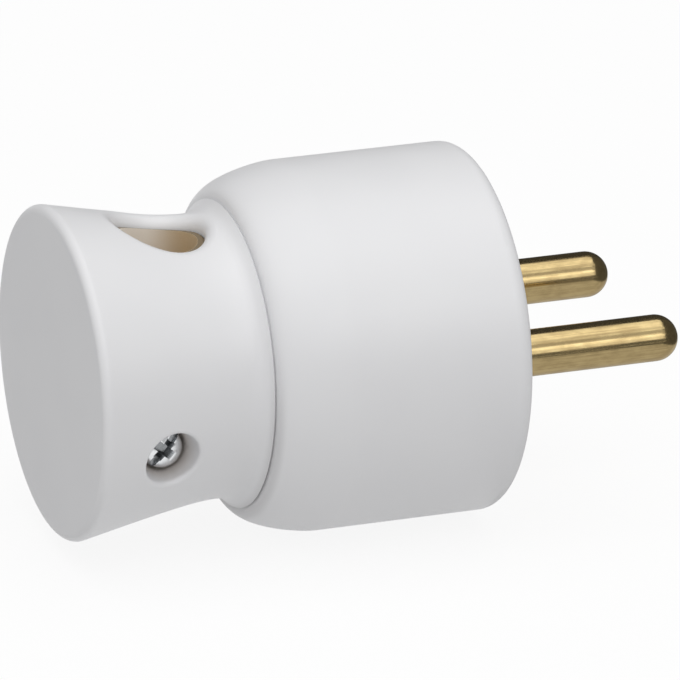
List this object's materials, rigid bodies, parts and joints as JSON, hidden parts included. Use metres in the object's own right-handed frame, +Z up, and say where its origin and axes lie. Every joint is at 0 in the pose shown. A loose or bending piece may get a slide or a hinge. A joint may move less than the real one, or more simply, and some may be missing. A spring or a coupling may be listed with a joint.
{
  "type": "angled plug",
  "caption": "Round angled mains plug: barrel with brass pins and an earth socket, waisted neck with a side cord outlet, sunk screws and a flat grip disc.",
  "frame": {"origin": "centre of the engagement face, midway between the pins where they leave it", "axes": "+X the way the pins point, +Z up through the cord outlet, Y along the line of the pins"},
  "size_m": [0.064, 0.038, 0.0378],
  "materials": {
    "white_moulding": "satin white moulded plastic",
    "tan_moulding": "matt tan moulded plastic",
    "turned_brass": "turned and polished brass",
    "zinc_steel": "bright zinc-plated steel",
    "spring_steel": "bare spring steel"
  },
  "bodies": {
    "root": {"rear_cover": "white_moulding", "front_body": "white_moulding", "contact_carrier": "tan_moulding", "cord_clamp": "tan_moulding", "cord_bush": "tan_moulding", "line_pin": "turned_brass", "neutral_pin": "turned_brass", "earth_sleeve": "turned_brass", "earth_spring": "spring_steel", "cover_screw_near": "zinc_steel", "cover_screw_far": "zinc_steel", "cover_nut_near": "zinc_steel", "cover_nut_far": "zinc_steel", "clamp_screw_near": "zinc_steel", "clamp_screw_far": "zinc_steel", "carrier_screw_near": "zinc_steel", "carrier_screw_far": "zinc_steel", "line_terminal_screw": "zinc_steel", "neutral_terminal_screw": "zinc_steel", "earth_terminal_screw": "zinc_steel"}
  },
  "joints": []
}
